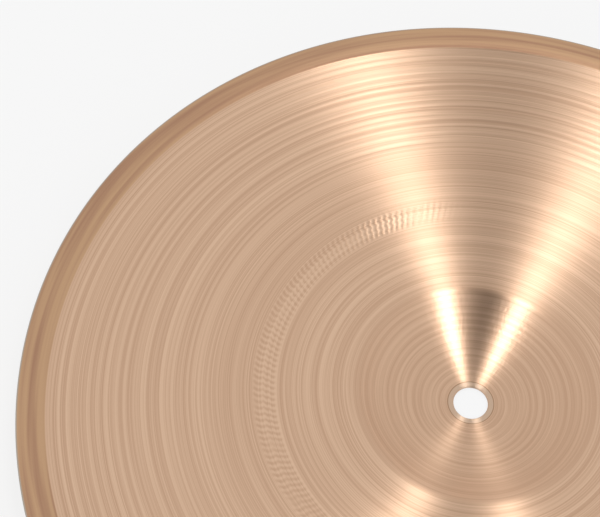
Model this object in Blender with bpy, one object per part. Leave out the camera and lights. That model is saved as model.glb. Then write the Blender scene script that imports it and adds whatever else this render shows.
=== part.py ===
"""A 12 inch splash cymbal, as one sheet of turned bronze.

The cymbal lies on the crown of its bell, with its underside up. The axis is Z, the crown's outer
face is at Z = 0, and the rim is the highest part. Lengths are in metres.

The section is drawn once, on the outer face, as a flat crown ring, a bell arc, a fillet and a bow
arc. The inner face is that line set off along its normals by a thickness that tapers to the rim.
Tonal grooves are cut into both faces, and the section is spun about the axis.
"""

import math

import bmesh
import bpy
from mathutils import Vector

# Overall form
DIAMETER = 0.3048
BELL_DIAMETER = 0.080
BELL_HEIGHT = 0.0102
BOW_HEIGHT = 0.0150
BOW_CROWN = 0.0012
NECK_FILLET_RADIUS = 0.0050

# Hole and the flat ring that felts bear on
HOLE_DIAMETER = 0.0120
HOLE_CHAMFER = 0.0003
CROWN_FLAT_WIDTH = 0.0019

# Sheet, thinnest where the lathe has cut next to the rim band
BELL_THICKNESS = 0.00095
RIM_THICKNESS = 0.00060
RIM_BAND_WIDTH = 0.0090
RIM_BAND_STEP = 0.00008
RIM_BAND_RAMP = 0.0004

# Tonal grooves of the outer bow
GROOVE_FIELD_WIDTH = 0.0430
GROOVE_PITCH = 0.0030
GROOVE_DEPTH = 0.00008

# Fineness of the mesh
TURN_STEPS = 64
BELL_STEPS = 6
NECK_STEPS = 3
PLAIN_BOW_STEPS = 5
EDGE_STEPS = 4

BRONZE_COLOUR = (0.58, 0.38, 0.22, 1.0)
BRONZE_ROUGHNESS = 0.32
SMOOTH_ANGLE = math.radians(25)

RADIUS = DIAMETER / 2
BELL_RADIUS = BELL_DIAMETER / 2
HOLE_RADIUS = HOLE_DIAMETER / 2
CROWN_FLAT_RADIUS = HOLE_RADIUS + CROWN_FLAT_WIDTH
BAND_RADIUS = RADIUS - RIM_BAND_WIDTH
GROOVES_START = BAND_RADIUS - RIM_BAND_RAMP - GROOVE_FIELD_WIDTH


class Arc:
    """A circle of the section, with its centre above the part of it that is used."""

    def __init__(self, centre, size):
        self.centre = centre
        self.size = size

    def at(self, radius, depth=0.0):
        """The point at that radius and that depth in the sheet, and the normal into the sheet there."""
        size = self.size - depth
        across = radius - self.centre.x
        drop = math.sqrt(size**2 - across**2)
        return Vector((radius, self.centre.y - drop)), Vector((-across, drop)) / size


def domed_arc(inner, outer):
    """The circle through two (radius, height) points whose centre is on the axis."""
    rise = outer.y - inner.y
    above = (outer.x**2 - inner.x**2 + rise**2) / (2 * rise)
    return Arc(Vector((0.0, inner.y + above)), math.hypot(inner.x, above))


def crowned_arc(inner, outer, crown):
    """The circle through two (radius, height) points that bulges by crown from their chord."""
    chord = outer - inner
    size = ((chord.length / 2) ** 2 + crown**2) / (2 * crown)
    upward = Vector((-chord.y, chord.x)).normalized()
    return Arc((inner + outer) / 2 + (size - crown) * upward, size)


BELL_EDGE = Vector((BELL_RADIUS, BELL_HEIGHT))
BELL = domed_arc(Vector((CROWN_FLAT_RADIUS, 0.0)), BELL_EDGE)
BOW = crowned_arc(BELL_EDGE, Vector((RADIUS, BELL_HEIGHT + BOW_HEIGHT)), BOW_CROWN)


def neck_centre():
    """The centre of the fillet that touches the bell arc and the bow arc from outside."""
    from_bell = BELL.size + NECK_FILLET_RADIUS
    from_bow = BOW.size + NECK_FILLET_RADIUS
    between = BOW.centre - BELL.centre
    apart = between.length
    along = between / apart
    foot = (from_bell**2 - from_bow**2 + apart**2) / (2 * apart)
    return BELL.centre + foot * along + math.sqrt(from_bell**2 - foot**2) * Vector((along.y, -along.x))


NECK = neck_centre()
NECK_INNER = NECK.lerp(BELL.centre, NECK_FILLET_RADIUS / (BELL.size + NECK_FILLET_RADIUS)).x
NECK_OUTER = NECK.lerp(BOW.centre, NECK_FILLET_RADIUS / (BOW.size + NECK_FILLET_RADIUS)).x


def spread(first, last, steps):
    """Evenly spaced values from first to last, both included."""
    return [first + (last - first) * i / steps for i in range(steps + 1)]


def thickness(radius):
    """The sheet's thickness before grooves: even in the bell, then tapering to the rim band."""
    if radius >= BAND_RADIUS:
        return RIM_THICKNESS
    share = max(0.0, radius - NECK_OUTER) / (BAND_RADIUS - NECK_OUTER)
    return BELL_THICKNESS + (RIM_THICKNESS - RIM_BAND_STEP - BELL_THICKNESS) * share


def neck_stations():
    """Points and normals round the fillet, from the bell arc to the bow arc."""
    start = BELL.at(NECK_INNER)[0] - NECK
    end = BOW.at(NECK_OUTER)[0] - NECK
    first = math.atan2(start.y, start.x)
    last = math.atan2(end.y, end.x)
    stations = []
    for angle in spread(first, last, NECK_STEPS):
        normal = Vector((math.cos(angle), math.sin(angle)))
        stations.append((NECK + NECK_FILLET_RADIUS * normal, normal, 0.0))
    return stations


def groove_stations():
    """Points and normals across the tonal grooves: a land, then the floor of a groove, in turn."""
    count = max(1, round(GROOVE_FIELD_WIDTH / GROOVE_PITCH))
    radii = spread(GROOVES_START, BAND_RADIUS - RIM_BAND_RAMP, 2 * count)
    return [(*BOW.at(radius), GROOVE_DEPTH * (i % 2)) for i, radius in enumerate(radii)]


def sheet_stations():
    """(point, normal, cut) on the outer face, from the crown ring to the inner edge of the rim band."""
    bell = [(*BELL.at(radius), 0.0) for radius in spread(CROWN_FLAT_RADIUS, NECK_INNER, BELL_STEPS)]
    bow = [(*BOW.at(radius), 0.0) for radius in spread(NECK_OUTER, GROOVES_START, PLAIN_BOW_STEPS)]
    return bell[1:-1] + neck_stations() + bow[1:-1] + groove_stations()


def outer_face():
    """The audience's side of the sheet, from the hole to the rim."""
    points = [Vector((HOLE_RADIUS, HOLE_CHAMFER))]
    points.append(Vector((HOLE_RADIUS + HOLE_CHAMFER, 0.0)))
    points.append(Vector((CROWN_FLAT_RADIUS, 0.0)))
    points += [point + cut * normal for point, normal, cut in sheet_stations()]
    return points


def inner_face():
    """The drummer's underside of the sheet, from the hole to the inner edge of the rim band."""
    points = [Vector((HOLE_RADIUS, BELL_THICKNESS - HOLE_CHAMFER))]
    points.append(Vector((HOLE_RADIUS + HOLE_CHAMFER, BELL_THICKNESS)))
    points.append(Vector((CROWN_FLAT_RADIUS, BELL_THICKNESS)))
    points += [
        point + (thickness(point.x) - cut) * normal for point, normal, cut in sheet_stations()
    ]
    band_start, normal = BOW.at(BAND_RADIUS)
    points.append(band_start + RIM_THICKNESS * normal)
    return points


def rim_edge():
    """The rounded edge, from the outer face round to the inner face."""
    half = RIM_THICKNESS / 2
    middle, normal = BOW.at(RADIUS - half, half)
    outward = Vector((normal.y, -normal.x))
    return [
        middle + half * (math.sin(angle) * normal + math.cos(angle) * outward)
        for angle in spread(-math.pi / 2, math.pi / 2, EDGE_STEPS)
    ]


def spun(name, section):
    """A mesh made by turning a closed section of (radius, height) points about the axis."""
    turned = bmesh.new()
    ring = [turned.verts.new((point.x, 0.0, point.y)) for point in section]
    edges = [turned.edges.new((a, b)) for a, b in zip(ring, ring[1:] + ring[:1])]
    bmesh.ops.spin(
        turned,
        geom=ring + edges,
        cent=(0, 0, 0),
        axis=(0, 0, 1),
        angle=2 * math.pi,
        steps=TURN_STEPS,
        use_merge=True,
        use_duplicate=False,
    )
    bmesh.ops.recalc_face_normals(turned, faces=turned.faces[:])
    mesh = bpy.data.meshes.new(name)
    turned.to_mesh(mesh)
    turned.free()
    mesh.shade_smooth()
    mesh.set_sharp_from_angle(angle=SMOOTH_ANGLE)
    return mesh


def bronze():
    """The warm, satin finish of lathed bronze."""
    material = bpy.data.materials.new("lathed_bronze")
    material.use_nodes = True
    shader = material.node_tree.nodes["Principled BSDF"]
    shader.inputs["Base Color"].default_value = BRONZE_COLOUR
    shader.inputs["Metallic"].default_value = 1.0
    shader.inputs["Roughness"].default_value = BRONZE_ROUGHNESS
    return material


def cymbal():
    """The whole cymbal, which is one piece of metal."""
    section = outer_face() + rim_edge() + inner_face()[::-1]
    made = bpy.data.objects.new("cymbal", spun("cymbal", section))
    made.data.materials.append(bronze())
    bpy.context.scene.collection.objects.link(made)
    return made


def main():
    for old in list(bpy.data.objects):
        bpy.data.objects.remove(old)
    cymbal()


main()
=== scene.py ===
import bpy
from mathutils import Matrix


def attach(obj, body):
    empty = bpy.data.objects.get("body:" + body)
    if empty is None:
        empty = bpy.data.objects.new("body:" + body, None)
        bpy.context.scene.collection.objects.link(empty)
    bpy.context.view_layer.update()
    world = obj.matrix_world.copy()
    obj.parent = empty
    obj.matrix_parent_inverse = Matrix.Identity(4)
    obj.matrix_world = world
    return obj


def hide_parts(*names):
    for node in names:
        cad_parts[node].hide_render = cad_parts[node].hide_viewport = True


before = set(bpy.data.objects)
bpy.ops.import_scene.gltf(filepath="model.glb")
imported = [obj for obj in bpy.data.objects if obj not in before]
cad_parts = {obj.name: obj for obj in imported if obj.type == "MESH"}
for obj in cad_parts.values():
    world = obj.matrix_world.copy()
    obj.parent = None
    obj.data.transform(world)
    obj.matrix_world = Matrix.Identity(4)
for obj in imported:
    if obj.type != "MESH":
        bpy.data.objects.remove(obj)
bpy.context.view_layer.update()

import math

import bmesh
import bpy
from mathutils import Matrix, Vector

# Form, in metres, as in the CAD part
RADIUS = 0.1524
BELL_RADIUS = 0.040
BELL_HEIGHT = 0.0102
BOW_HEIGHT = 0.0150
BOW_CROWN = 0.0012
NECK_FILLET_RADIUS = 0.0050
HOLE_RADIUS = 0.0060
HOLE_CHAMFER = 0.0003
CROWN_FLAT_RADIUS = 0.0079
BELL_THICKNESS = 0.00095
RIM_THICKNESS = 0.00060
BAND_RADIUS = 0.1434
BAND_STEP = 0.00008
BAND_RAMP = 0.0004
GROOVES_START = 0.1000
GROOVE_PITCH = 0.0030

# Grooves that are rounder and finer than the CAD part's
GROOVE_DEPTH = 0.00006
LINE_DEPTH = 0.000006

# Fineness of the turned mesh, with steps in metres
TURN_STEPS = 256
LINE_STEP = 0.0005
OUTER_STEP = 0.0015
EDGE_STEPS = 8
SMOOTH_ANGLE = math.radians(25)

# Colours and sheen of the metal
PALE_BRONZE = (0.73, 0.50, 0.345, 1.0)
DEEP_BRONZE = (0.56, 0.355, 0.235, 1.0)
BAND_BRONZE = (0.50, 0.31, 0.18, 1.0)
DULL_BAND = (0.36, 0.20, 0.125, 1.0)
WORN_EDGE = (0.42, 0.36, 0.30, 1.0)
CROWN_BRONZE = (0.60, 0.43, 0.31, 1.0)
DARK_LINE = (0.38, 0.23, 0.14, 1.0)
METAL_ROUGHNESS = 0.30
METAL_ANISOTROPY = 1.0
BAND_ANISOTROPY = 0.5
ACROSS_THE_LINES = 0.25

# Noise drawn out along circles: its scale round the circle, its scale along the radius, its detail
FINE_LINES = (0.5, 3000.0, 2.0)
COARSE_LINES = (0.3, 700.0, 1.0)
FEATHERS = (26.0, 900.0, 2.0)
RIPPLE_PATCHES = (7.0, 120.0, 1.0)
BAND_WEAR = (1.5, 420.0, 2.0)
NOISE_ROUGHNESS = 0.6
NOISE_RANGE = (0.3, 0.7)

# Broad rings in the bell, and the stretches over which they and the tonal rings fade, in metres
BELL_RING_PITCH = 0.0023
BELL_FADE = 0.001
TONAL_FADE = 0.01

# The ring of hammer ripples, which shows on the left only, in metres
RIPPLE_RADIUS = 0.0715
RIPPLE_HALF_WIDTH = 0.003
RIPPLE_FADE = 0.0015
RIPPLE_ROW_PITCH = 0.0045
RIPPLE_LEFT_RANGE = (0.015, 0.06)

# Ripples round the circle, their slant in radians per metre, and how unevenly they lie
RIPPLE_COUNT = 204
RIPPLE_SLANT = 900.0
RIPPLE_WANDER = 5.0
RIPPLE_ROW_SHARE = 0.35
RIPPLE_PATCH_RANGE = (0.15, 0.5)

# Relief of each pattern, in metres
FINE_RELIEF = 0.000008
COARSE_RELIEF = 0.000005
FEATHER_RELIEF = 0.000006
BELL_FEATHER_RELIEF = 0.000012
BELL_RING_RELIEF = 0.000006
RIPPLE_RELIEF = 0.000014

# Share of each pattern in the tone, which runs from deep to pale bronze
FINE_TONE = 0.7
COARSE_TONE = 0.3
RING_TONE = 0.05
# The ripples' share is painted light and shade of the hammer ripples, on top of their real relief
RIPPLE_PAINTED_SHADING = 0.10

# How strongly each region is coloured over, and its widths in metres
BELL_SHADE = 0.3
NECK_SHADE = 0.45
NECK_FADE = 0.0008
BAND_COVER = 0.95
EDGE_WEAR_START = 0.0007
EDGE_WEAR_FULL = 0.0003
CROWN_LINE_WIDTH = 0.0002
CROWN_FADE = 0.0001

# Upward part of a normal from which a face counts fully as the underside, which faces up
UPPER_FACING = 0.1

# Camera, found from the rim, the hole and the lathe rings in the photograph
FRAME_WIDTH = 600
FRAME_HEIGHT = 517
SENSOR = 36.0
LENS = 70.93
CLIP_START = 0.01
CAMERA_ELEVATION = math.radians(63.82)
CAMERA_ROLL = math.radians(15.81)
CAMERA_DISTANCE = 0.41894
HOLE_PIXEL = (470.75, 402.61)

# Strip lamps, with each end as the x and y of a unit vector and widths in radians
LAMP_DISTANCE = 2.5
STRIP_RADIANCE = 9.0
LEFT_STRIP = ((0.44, -0.35), (0.147, 0.16))
LEFT_STRIP_WIDTH = 0.10
RIGHT_STRIP = ((-0.173, -0.40), (-0.054, 0.16))
RIGHT_STRIP_WIDTH = 0.09

# World, whose dark patch is an oval in the x and y of unit vectors
WHITE = (1.0, 1.0, 1.0, 1.0)
SKY = 0.93
DARK_SKY = 0.05
DARK_CENTRE = (0.08, -0.33)
DARK_HALF_SIZE = (0.20, 0.60)
DARK_EDGE = (0.75, 1.15)

# Floor and background
BACKDROP = 0.915
FLOOR_SIZE = 6.0
FLOOR_GAP = 0.0002
FLOOR_COLOUR = (0.9, 0.9, 0.9, 1.0)
FLOOR_GLOW_SHARE = 0.85


class Arc:
    """A circle of the section, with its centre above the part of it that is used."""

    def __init__(self, centre, size):
        self.centre = centre
        self.size = size

    def at(self, radius, depth=0.0):
        """The point at that radius and that depth in the sheet, and the normal into the sheet there."""
        size = self.size - depth
        across = radius - self.centre.x
        drop = math.sqrt(size**2 - across**2)
        return Vector((radius, self.centre.y - drop)), Vector((-across, drop)) / size


def domed_arc(inner, outer):
    """The circle through two (radius, height) points whose centre is on the axis."""
    rise = outer.y - inner.y
    above = (outer.x**2 - inner.x**2 + rise**2) / (2 * rise)
    return Arc(Vector((0.0, inner.y + above)), math.hypot(inner.x, above))


def crowned_arc(inner, outer, crown):
    """The circle through two (radius, height) points that bulges by crown from their chord."""
    chord = outer - inner
    size = ((chord.length / 2) ** 2 + crown**2) / (2 * crown)
    upward = Vector((-chord.y, chord.x)).normalized()
    return Arc((inner + outer) / 2 + (size - crown) * upward, size)


BELL_EDGE = Vector((BELL_RADIUS, BELL_HEIGHT))
BELL = domed_arc(Vector((CROWN_FLAT_RADIUS, 0.0)), BELL_EDGE)
BOW = crowned_arc(BELL_EDGE, Vector((RADIUS, BELL_HEIGHT + BOW_HEIGHT)), BOW_CROWN)


def neck_centre():
    """The centre of the fillet that touches the bell arc and the bow arc from outside."""
    from_bell = BELL.size + NECK_FILLET_RADIUS
    from_bow = BOW.size + NECK_FILLET_RADIUS
    between = BOW.centre - BELL.centre
    apart = between.length
    along = between / apart
    foot = (from_bell**2 - from_bow**2 + apart**2) / (2 * apart)
    return BELL.centre + foot * along + math.sqrt(from_bell**2 - foot**2) * Vector((along.y, -along.x))


NECK = neck_centre()
NECK_INNER = NECK.lerp(BELL.centre, NECK_FILLET_RADIUS / (BELL.size + NECK_FILLET_RADIUS)).x
NECK_OUTER = NECK.lerp(BOW.centre, NECK_FILLET_RADIUS / (BOW.size + NECK_FILLET_RADIUS)).x


def outer_point(radius):
    """The point of the outer face at that radius, and the normal into the sheet there."""
    if radius < NECK_INNER:
        return BELL.at(radius)
    if radius > NECK_OUTER:
        return BOW.at(radius)
    across = radius - NECK.x
    rise = math.sqrt(NECK_FILLET_RADIUS**2 - across**2)
    return NECK + Vector((across, rise)), Vector((across, rise)) / NECK_FILLET_RADIUS


def tonal_cut(radius):
    """Depth of the tonal grooves, which fill the outer part of the bow."""
    if not GROOVES_START < radius < BAND_RADIUS - BAND_RAMP:
        return 0.0
    turns = (radius - GROOVES_START) / GROOVE_PITCH
    return GROOVE_DEPTH / 2 * (1 - math.cos(2 * math.pi * turns))


def thickness(radius):
    """The sheet's thickness before grooves: even in the bell, then tapering to the rim band."""
    if radius >= BAND_RADIUS:
        return RIM_THICKNESS
    share = max(0.0, radius - NECK_OUTER) / (BAND_RADIUS - NECK_OUTER)
    return BELL_THICKNESS + (RIM_THICKNESS - BAND_STEP - BELL_THICKNESS) * share


def stations(step):
    """Radii from the crown ring to the foot of the rim band, about one step apart."""
    first = CROWN_FLAT_RADIUS
    last = BAND_RADIUS - BAND_RAMP
    count = round((last - first) / step)
    return [first + (last - first) * i / count for i in range(1, count + 1)]


def outer_face():
    """The audience's side of the sheet, from the hole to the foot of the rim band."""
    points = [Vector((HOLE_RADIUS, HOLE_CHAMFER))]
    points.append(Vector((HOLE_RADIUS + HOLE_CHAMFER, 0.0)))
    points.append(Vector((CROWN_FLAT_RADIUS, 0.0)))
    for radius in stations(OUTER_STEP):
        point, normal = outer_point(radius)
        points.append(point + tonal_cut(radius) * normal)
    return points


def rim_edge():
    """The rounded edge, from the outer face round to the inner face."""
    half = RIM_THICKNESS / 2
    middle, normal = BOW.at(RADIUS - half, half)
    outward = Vector((normal.y, -normal.x))
    angles = [math.pi * (i / EDGE_STEPS - 0.5) for i in range(EDGE_STEPS + 1)]
    return [middle + half * (math.sin(a) * normal + math.cos(a) * outward) for a in angles]


def inner_face():
    """The drummer's underside of the sheet, with its fine lines, from the hole to the rim band."""
    points = [Vector((HOLE_RADIUS, BELL_THICKNESS - HOLE_CHAMFER))]
    points.append(Vector((HOLE_RADIUS + HOLE_CHAMFER, BELL_THICKNESS)))
    points.append(Vector((CROWN_FLAT_RADIUS, BELL_THICKNESS)))
    for i, radius in enumerate(stations(LINE_STEP)):
        point, normal = outer_point(radius)
        cut = tonal_cut(radius) + LINE_DEPTH * (i % 2)
        points.append(point + (thickness(radius) - cut) * normal)
    band_start, normal = BOW.at(BAND_RADIUS)
    points.append(band_start + RIM_THICKNESS * normal)
    return points


def turned_mesh(name, outline):
    """A mesh made by turning a closed section about the axis."""
    turned = bmesh.new()
    ring = [turned.verts.new((point.x, 0.0, point.y)) for point in outline]
    edges = [turned.edges.new((a, b)) for a, b in zip(ring, ring[1:] + ring[:1])]
    bmesh.ops.spin(
        turned,
        geom=ring + edges,
        cent=(0, 0, 0),
        axis=(0, 0, 1),
        angle=2 * math.pi,
        steps=TURN_STEPS,
        use_merge=True,
        use_duplicate=False,
    )
    bmesh.ops.recalc_face_normals(turned, faces=turned.faces[:])
    mesh = bpy.data.meshes.new(name)
    turned.to_mesh(mesh)
    turned.free()
    mesh.shade_smooth()
    mesh.set_sharp_from_angle(angle=SMOOTH_ANGLE)
    return mesh


def added(name, data):
    """A new object of the scene."""
    made = bpy.data.objects.new(name, data)
    bpy.context.scene.collection.objects.link(made)
    return made


def node(tree, kind, inputs=None, **settings):
    """A new shader node, with each input given as a value or as another node's output."""
    made = tree.nodes.new(kind)
    for name, value in settings.items():
        setattr(made, name, value)
    for key, value in (inputs or {}).items():
        socket = made.inputs[key]
        if isinstance(value, bpy.types.NodeSocket):
            tree.links.new(value, socket)
        else:
            socket.default_value = value
    return made


def calc(tree, operation, *values):
    """One step of arithmetic."""
    return node(tree, "ShaderNodeMath", dict(enumerate(values)), operation=operation).outputs[0]


def length(tree, x, y):
    """The length of a flat vector."""
    flat = node(tree, "ShaderNodeCombineXYZ", {0: x, 1: y}).outputs[0]
    return node(tree, "ShaderNodeVectorMath", {0: flat}, operation="LENGTH").outputs[1]


def blend(tree, factor, first, second):
    """One colour turning into another."""
    inputs = {0: factor, 6: first, 7: second}
    return node(tree, "ShaderNodeMix", inputs, data_type="RGBA").outputs[2]


def rising(tree, value, start, end):
    """0 up to start, 1 from end, and smooth between."""
    inputs = {"Value": value, "From Min": start, "From Max": end, "To Min": 0.0, "To Max": 1.0}
    return node(tree, "ShaderNodeMapRange", inputs, interpolation_type="SMOOTHSTEP").outputs[0]


def falling(tree, value, start, end):
    """1 up to start, 0 from end, and smooth between."""
    return calc(tree, "SUBTRACT", 1.0, rising(tree, value, start, end))


def within(tree, value, low, high, soft):
    """1 between low and high, falling off over a soft width on both sides."""
    rise = rising(tree, value, low - soft, low)
    fall = rising(tree, value, high, high + soft)
    return calc(tree, "SUBTRACT", rise, fall)


def rings(tree, radius, pitch):
    """A wave that repeats along the radius."""
    return calc(tree, "SINE", calc(tree, "MULTIPLY", radius, 2 * math.pi / pitch))


class Turned:
    """Where a shaded point lies on a body that is turned about Z."""

    def __init__(self, tree):
        self.tree = tree
        place = node(tree, "ShaderNodeTexCoord")
        self.x, self.y = node(tree, "ShaderNodeSeparateXYZ", {0: place.outputs["Object"]}).outputs[:2]
        self.radius = length(tree, self.x, self.y)
        self.azimuth = calc(tree, "ARCTAN2", self.y, self.x)
        self.outward = [calc(tree, "DIVIDE", part, self.radius) for part in (self.x, self.y)]
        facing = node(tree, "ShaderNodeSeparateXYZ", {0: place.outputs["Normal"]}).outputs[2]
        self.upper = rising(tree, facing, 0.0, UPPER_FACING)

    def noise(self, around, along, detail):
        """Noise drawn out along circles about the axis."""
        parts = {i: calc(self.tree, "MULTIPLY", part, around) for i, part in enumerate(self.outward)}
        parts[2] = calc(self.tree, "MULTIPLY", self.radius, along)
        place = node(self.tree, "ShaderNodeCombineXYZ", parts).outputs[0]
        inputs = {"Vector": place, "Scale": 1.0, "Detail": detail, "Roughness": NOISE_ROUGHNESS}
        return node(self.tree, "ShaderNodeTexNoise", inputs).outputs[0]


def hammer_ripples(at, coarse):
    """A ring of slanting ripples in two rows, broken up into patches."""
    tree = at.tree
    slant = calc(tree, "MULTIPLY", at.radius, RIPPLE_SLANT)
    slant = calc(tree, "MULTIPLY_ADD", coarse, RIPPLE_WANDER, slant)
    wave = calc(tree, "SINE", calc(tree, "MULTIPLY_ADD", at.azimuth, RIPPLE_COUNT, slant))
    rows = rings(tree, at.radius, RIPPLE_ROW_PITCH)
    inner = RIPPLE_RADIUS - RIPPLE_HALF_WIDTH
    outer = RIPPLE_RADIUS + RIPPLE_HALF_WIDTH
    zone = within(tree, at.radius, inner, outer, RIPPLE_FADE)
    left = rising(tree, calc(tree, "MULTIPLY", at.x, -1.0), *RIPPLE_LEFT_RANGE)
    patches = rising(tree, at.noise(*RIPPLE_PATCHES), *RIPPLE_PATCH_RANGE)
    zone = calc(tree, "MULTIPLY", zone, calc(tree, "MULTIPLY", left, patches))
    return calc(tree, "MULTIPLY", calc(tree, "MULTIPLY_ADD", rows, RIPPLE_ROW_SHARE, wave), zone)


class Patterns:
    """The masks and patterns that colour and relief share."""

    def __init__(self, at):
        tree = at.tree
        self.fine = at.noise(*FINE_LINES)
        self.coarse = at.noise(*COARSE_LINES)
        past_ramp = rising(tree, at.radius, BAND_RADIUS - BAND_RAMP, BAND_RADIUS)
        self.band = calc(tree, "MULTIPLY", past_ramp, at.upper)
        self.bell = falling(tree, at.radius, NECK_INNER - BELL_FADE, NECK_INNER)
        self.bell_rings = calc(tree, "MULTIPLY", rings(tree, at.radius, BELL_RING_PITCH), self.bell)
        field = rising(tree, at.radius, GROOVES_START - TONAL_FADE, GROOVES_START + TONAL_FADE)
        self.tonal_rings = calc(tree, "MULTIPLY", rings(tree, at.radius, GROOVE_PITCH), field)
        self.ripples = hammer_ripples(at, self.coarse)


def metal_relief(at, patterns):
    """Normals bent by lathe lines, feathery marks and ripples, with the rim band left smooth."""
    tree = at.tree
    feathers = at.noise(*FEATHERS)
    height = calc(tree, "MULTIPLY", patterns.fine, FINE_RELIEF)
    height = calc(tree, "MULTIPLY_ADD", patterns.coarse, COARSE_RELIEF, height)
    height = calc(tree, "MULTIPLY_ADD", feathers, FEATHER_RELIEF, height)
    height = calc(tree, "MULTIPLY_ADD", patterns.bell_rings, BELL_RING_RELIEF, height)
    bell_feathers = calc(tree, "MULTIPLY", feathers, patterns.bell)
    height = calc(tree, "MULTIPLY_ADD", bell_feathers, BELL_FEATHER_RELIEF, height)
    height = calc(tree, "MULTIPLY", height, calc(tree, "SUBTRACT", 1.0, patterns.band))
    height = calc(tree, "MULTIPLY_ADD", patterns.ripples, RIPPLE_RELIEF, height)
    inputs = {"Height": height, "Distance": 1.0, "Strength": 1.0}
    return node(tree, "ShaderNodeBump", inputs).outputs[0]


def metal_colour(at, patterns):
    """Rings of two bronzes, deeper in the bell and at its neck, with a duller rim band and edge."""
    tree = at.tree
    tone = calc(tree, "MULTIPLY", patterns.coarse, COARSE_TONE)
    tone = calc(tree, "MULTIPLY_ADD", patterns.fine, FINE_TONE, tone)
    broad_rings = calc(tree, "ADD", patterns.bell_rings, patterns.tonal_rings)
    tone = calc(tree, "MULTIPLY_ADD", broad_rings, RING_TONE, tone)
    # Painted light and shade of the hammer ripples, which also have real relief
    tone = calc(tree, "MULTIPLY_ADD", patterns.ripples, RIPPLE_PAINTED_SHADING, tone)
    colour = blend(tree, rising(tree, tone, *NOISE_RANGE), DEEP_BRONZE, PALE_BRONZE)

    colour = blend(tree, calc(tree, "MULTIPLY", patterns.bell, BELL_SHADE), colour, DEEP_BRONZE)
    neck = within(tree, at.radius, NECK_INNER, NECK_OUTER, NECK_FADE)
    colour = blend(tree, calc(tree, "MULTIPLY", neck, NECK_SHADE), colour, DEEP_BRONZE)

    worn = rising(tree, at.noise(*BAND_WEAR), *NOISE_RANGE)
    band_colour = blend(tree, worn, DULL_BAND, BAND_BRONZE)
    colour = blend(tree, calc(tree, "MULTIPLY", patterns.band, BAND_COVER), colour, band_colour)
    edge = rising(tree, at.radius, RADIUS - EDGE_WEAR_START, RADIUS - EDGE_WEAR_FULL)
    colour = blend(tree, edge, colour, WORN_EDGE)

    crown = falling(tree, at.radius, CROWN_FLAT_RADIUS - CROWN_FADE, CROWN_FLAT_RADIUS)
    colour = blend(tree, crown, colour, CROWN_BRONZE)
    line_end = CROWN_FLAT_RADIUS + CROWN_LINE_WIDTH
    line = within(tree, at.radius, CROWN_FLAT_RADIUS, line_end, CROWN_FADE)
    return blend(tree, line, colour, DARK_LINE)


def lathed_bronze():
    """Bronze that gleams across its lathe lines, and more evenly on the smooth rim band."""
    material = bpy.data.materials.new("lathed_bronze")
    material.use_nodes = True
    tree = material.node_tree
    shader = tree.nodes["Principled BSDF"]
    at = Turned(tree)
    patterns = Patterns(at)
    less = BAND_ANISOTROPY - METAL_ANISOTROPY
    gleam = calc(tree, "MULTIPLY_ADD", patterns.band, less, METAL_ANISOTROPY)
    tangent = node(tree, "ShaderNodeTangent", direction_type="RADIAL", axis="Z").outputs[0]
    tree.links.new(metal_colour(at, patterns), shader.inputs["Base Color"])
    tree.links.new(metal_relief(at, patterns), shader.inputs["Normal"])
    tree.links.new(gleam, shader.inputs["Anisotropic"])
    tree.links.new(tangent, shader.inputs["Tangent"])
    shader.inputs["Metallic"].default_value = 1.0
    shader.inputs["Roughness"].default_value = METAL_ROUGHNESS
    shader.inputs["Anisotropic Rotation"].default_value = ACROSS_THE_LINES
    return material


def make_cymbal():
    """The finely turned cymbal, in place of the CAD solid."""
    outline = outer_face() + rim_edge() + inner_face()[::-1]
    piece = added("cymbal_metal", turned_mesh("cymbal_metal", outline))
    piece.data.materials.append(lathed_bronze())
    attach(piece, "root")
    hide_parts("cymbal")


def make_camera():
    """The camera, aimed so that the hole falls on its pixel of the photograph."""
    away = Vector((0, -math.cos(CAMERA_ELEVATION), math.sin(CAMERA_ELEVATION)))
    right = Vector((1, 0, 0))
    axes = Matrix((right, (-away).cross(right), -away))
    roll = Matrix.Rotation(CAMERA_ROLL, 3, "Z")
    focal = LENS / SENSOR * FRAME_WIDTH
    to_hole = Vector((HOLE_PIXEL[0] - FRAME_WIDTH / 2, HOLE_PIXEL[1] - FRAME_HEIGHT / 2, focal))
    turn = Vector((0, 0, 1)).rotation_difference(to_hole).to_matrix()
    view = turn @ roll @ axes
    pose = Matrix((view[0], -view[1], -view[2])).transposed().to_4x4()
    pose.translation = Vector((0, 0, BELL_THICKNESS)) + CAMERA_DISTANCE * away
    lens = bpy.data.cameras.new("camera")
    lens.lens = LENS
    lens.sensor_width = SENSOR
    lens.sensor_fit = "HORIZONTAL"
    lens.clip_start = CLIP_START
    camera = added("camera", lens)
    camera.matrix_world = pose
    bpy.context.scene.camera = camera


def strip_lamp(name, directions, width):
    """A long thin lamp between two directions, each the x and y of a unit vector."""
    start, end = [LAMP_DISTANCE * Vector((x, y, math.sqrt(1 - x**2 - y**2))) for x, y in directions]
    middle = (start + end) / 2
    along = (end - start).normalized()
    outward = (middle - middle.dot(along) * along).normalized()
    lamp = bpy.data.lights.new(name, "AREA")
    lamp.shape = "RECTANGLE"
    lamp.size = width * LAMP_DISTANCE
    lamp.size_y = (end - start).length
    lamp.energy = STRIP_RADIANCE * math.pi * lamp.size * lamp.size_y
    pose = Matrix((along.cross(outward), along, outward)).transposed().to_4x4()
    pose.translation = middle
    added(name, lamp).matrix_world = pose


def dark_patch_distance(tree):
    """How far a direction lies from the dark patch's centre, in half sizes of the patch."""
    place = node(tree, "ShaderNodeTexCoord").outputs["Generated"]
    direction = node(tree, "ShaderNodeSeparateXYZ", {0: place}).outputs
    parts = []
    for i in (0, 1):
        off = calc(tree, "SUBTRACT", direction[i], DARK_CENTRE[i])
        parts.append(calc(tree, "DIVIDE", off, DARK_HALF_SIZE[i]))
    return length(tree, *parts)


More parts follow.
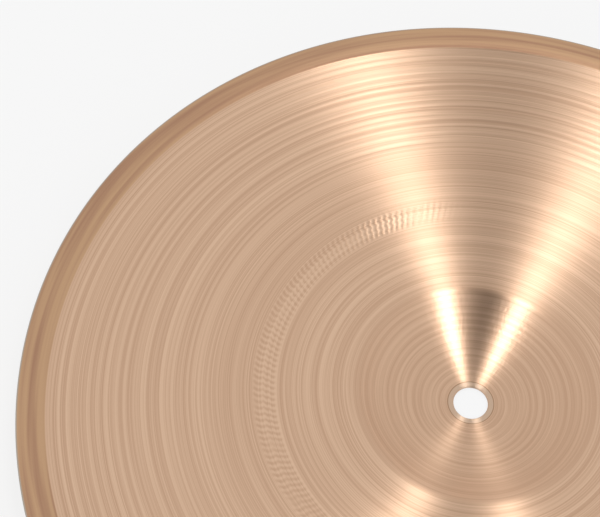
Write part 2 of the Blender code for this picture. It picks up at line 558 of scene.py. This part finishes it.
def make_world():
    """A pale studio with a dark patch on the camera's side, and a plain background."""
    world = bpy.data.worlds.new("studio")
    world.use_nodes = True
    bpy.context.scene.world = world
    tree = world.node_tree
    tree.nodes.clear()
    pale = rising(tree, dark_patch_distance(tree), *DARK_EDGE)
    level = calc(tree, "MULTIPLY_ADD", pale, SKY - DARK_SKY, DARK_SKY)
    sky = node(tree, "ShaderNodeBackground", {"Color": WHITE, "Strength": level}).outputs[0]
    seen = node(tree, "ShaderNodeBackground", {"Color": WHITE, "Strength": BACKDROP}).outputs[0]
    camera_ray = node(tree, "ShaderNodeLightPath").outputs["Is Camera Ray"]
    mixed = node(tree, "ShaderNodeMixShader", {0: camera_ray, 1: sky, 2: seen}).outputs[0]
    node(tree, "ShaderNodeOutputWorld", {"Surface": mixed})


def floor_material():
    """A matt floor that also glows where it is seen, so that it looks as pale as the background."""
    material = bpy.data.materials.new("floor")
    material.use_nodes = True
    tree = material.node_tree
    tree.nodes.clear()
    matt = node(tree, "ShaderNodeBsdfDiffuse", {"Color": FLOOR_COLOUR}).outputs[0]
    glow = node(tree, "ShaderNodeEmission", {"Color": WHITE, "Strength": BACKDROP}).outputs[0]
    path = node(tree, "ShaderNodeLightPath").outputs
    seen = calc(tree, "MAXIMUM", path["Is Camera Ray"], path["Is Glossy Ray"])
    seen = calc(tree, "MAXIMUM", seen, path["Is Transmission Ray"])
    share = calc(tree, "MULTIPLY", seen, FLOOR_GLOW_SHARE)
    mixed = node(tree, "ShaderNodeMixShader", {0: share, 1: matt, 2: glow}).outputs[0]
    node(tree, "ShaderNodeOutputMaterial", {"Surface": mixed})
    return material


def make_floor():
    """A pale floor that keeps the cymbal's shadow."""
    bpy.ops.mesh.primitive_plane_add(size=FLOOR_SIZE, location=(0, 0, -FLOOR_GAP))
    floor = bpy.context.object
    floor.name = "floor"
    floor.data.materials.append(floor_material())


make_cymbal()
make_camera()
make_world()
make_floor()
strip_lamp("left_strip", LEFT_STRIP, LEFT_STRIP_WIDTH)
strip_lamp("right_strip", RIGHT_STRIP, RIGHT_STRIP_WIDTH)
bpy.context.scene.view_settings.view_transform = "Standard"
